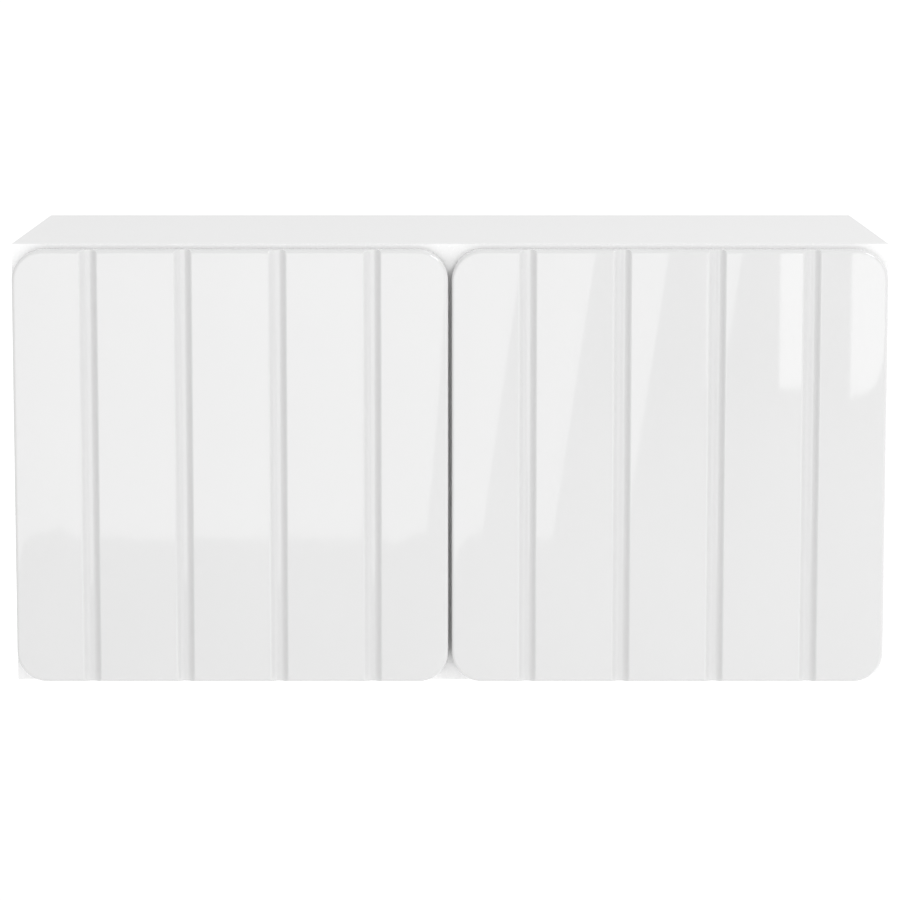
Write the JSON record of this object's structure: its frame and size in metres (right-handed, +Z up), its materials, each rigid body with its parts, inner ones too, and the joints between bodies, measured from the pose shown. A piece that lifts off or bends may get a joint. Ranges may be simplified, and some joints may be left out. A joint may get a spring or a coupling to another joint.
{
  "type": "hanging wall cabinet",
  "caption": "Wide low wall cabinet with gloss white doors, shallow vertical grooves, rounded door corners, concealed hinges and push latches.",
  "frame": {"origin": "middle of the footprint: x centre, halfway between door fronts and wall, z at the carcass underside", "axes": "+X right seen from the front, +Y towards the wall, +Z up"},
  "size_m": [0.8, 0.32, 0.405],
  "materials": {
    "gloss_lacquer": "white high-gloss lacquer on MDF",
    "white_melamine": "satin white melamine-faced board",
    "edge_band": "white edge band",
    "back_board": "white-faced hardboard",
    "beech": "plain fluted beech",
    "zinc": "cast zinc",
    "plated_fasteners": "zinc plated steel",
    "nickel_plated_steel": "nickel plated steel",
    "galvanised_steel": "galvanised steel",
    "grey_plastic": "moulded grey plastic",
    "plunger_plastic": "dark moulded plastic",
    "clear_rubber": "soft translucent bumper"
  },
  "bodies": {
    "carcass": {"top_panel": "white_melamine", "bottom_panel": "white_melamine", "side_panel_left": "white_melamine", "side_panel_right": "white_melamine", "centre_partition": "white_melamine", "back_panel": "back_board", "front_edge_bands": "edge_band", "shelf_left": "white_melamine", "shelf_right": "white_melamine", "shelf_edge_bands": "edge_band", "shelf_pins": "plated_fasteners", "dowels": "beech", "cam_discs": "zinc", "cam_bolts": "plated_fasteners", "hinge_plate_screws": "plated_fasteners", "latch_screws": "plated_fasteners", "hanger_adjusting_screws": "plated_fasteners", "hanger_fixing_screws": "plated_fasteners", "hinge_plate_lower_left": "nickel_plated_steel", "hinge_plate_upper_left": "nickel_plated_steel", "hinge_arm_lower_left": "nickel_plated_steel", "hinge_arm_upper_left": "nickel_plated_steel", "hinge_arm_pins_left": "plated_fasteners", "latch_housing_left": "grey_plastic", "hanger_housing_left": "grey_plastic", "hanger_hook_left": "galvanised_steel", "wall_plate_left": "galvanised_steel", "hinge_plate_lower_right": "nickel_plated_steel", "hinge_plate_upper_right": "nickel_plated_steel", "hinge_arm_lower_right": "nickel_plated_steel", "hinge_arm_upper_right": "nickel_plated_steel", "hinge_arm_pins_right": "plated_fasteners", "latch_housing_right": "grey_plastic", "hanger_housing_right": "grey_plastic", "hanger_hook_right": "galvanised_steel", "wall_plate_right": "galvanised_steel"},
    "outer_links_left": {"hinge_outer_links_left": "nickel_plated_steel"},
    "inner_links_left": {"hinge_inner_links_left": "nickel_plated_steel"},
    "door_left": {"door_left": "gloss_lacquer", "door_bumpers_left": "clear_rubber", "hinge_cup_lower_left": "nickel_plated_steel", "hinge_cup_upper_left": "nickel_plated_steel", "hinge_cup_pins_left": "plated_fasteners", "hinge_cup_screws_left": "plated_fasteners", "strike_plate_left": "galvanised_steel"},
    "latch_plunger_left": {"latch_plunger_left": "plunger_plastic"},
    "outer_links_right": {"hinge_outer_links_right": "nickel_plated_steel"},
    "inner_links_right": {"hinge_inner_links_right": "nickel_plated_steel"},
    "door_right": {"door_right": "gloss_lacquer", "door_bumpers_right": "clear_rubber", "hinge_cup_lower_right": "nickel_plated_steel", "hinge_cup_upper_right": "nickel_plated_steel", "hinge_cup_pins_right": "plated_fasteners", "hinge_cup_screws_right": "plated_fasteners", "strike_plate_right": "galvanised_steel"},
    "latch_plunger_right": {"latch_plunger_right": "plunger_plastic"}
  },
  "joints": [
    {"name": "outer_links_left_swing", "type": "hinge", "parent": "carcass", "child": "outer_links_left", "pos_m": [-0.354, -0.1367, 0.2015], "axis": [0, 0, -1], "range_deg": [-40.52, 0.5]},
    {"name": "door_left_swing", "type": "hinge", "parent": "outer_links_left", "child": "door_left", "pos_m": [-0.3858, -0.1436, 0.2015], "axis": [0, 0, -1], "range_deg": [0, 132.02]},
    {"name": "inner_links_left_swing", "type": "hinge", "parent": "carcass", "child": "inner_links_left", "pos_m": [-0.3694, -0.1473, 0.2015], "axis": [0, 0, -1], "range_deg": [-65.36, 0.5]},
    {"name": "latch_plunger_left_travel", "type": "slide", "parent": "carcass", "child": "latch_plunger_left", "axis": [0, -1, 0], "range_m": [0, 0.0125]},
    {"name": "outer_links_right_swing", "type": "hinge", "parent": "carcass", "child": "outer_links_right", "pos_m": [0.354, -0.1367, 0.2015], "axis": [0, 0, 1], "range_deg": [-40.52, 0.5]},
    {"name": "door_right_swing", "type": "hinge", "parent": "outer_links_right", "child": "door_right", "pos_m": [0.3858, -0.1436, 0.2015], "axis": [0, 0, 1], "range_deg": [0, 132.02]},
    {"name": "inner_links_right_swing", "type": "hinge", "parent": "carcass", "child": "inner_links_right", "pos_m": [0.3694, -0.1473, 0.2015], "axis": [0, 0, 1], "range_deg": [-65.36, 0.5]},
    {"name": "latch_plunger_right_travel", "type": "slide", "parent": "carcass", "child": "latch_plunger_right", "axis": [0, -1, 0], "range_m": [0, 0.0125]}
  ],
  "couplings": [
    {"joint": "outer_links_left_swing", "follows": "door_left_swing", "ratio": -0.30314},
    {"joint": "inner_links_left_swing", "follows": "door_left_swing", "ratio": -0.49129},
    {"joint": "latch_plunger_left_travel", "follows": "door_left_swing", "m_per_rad": 0.005208},
    {"joint": "outer_links_right_swing", "follows": "door_right_swing", "ratio": -0.30314},
    {"joint": "inner_links_right_swing", "follows": "door_right_swing", "ratio": -0.49129},
    {"joint": "latch_plunger_right_travel", "follows": "door_right_swing", "m_per_rad": 0.005208}
  ]
}
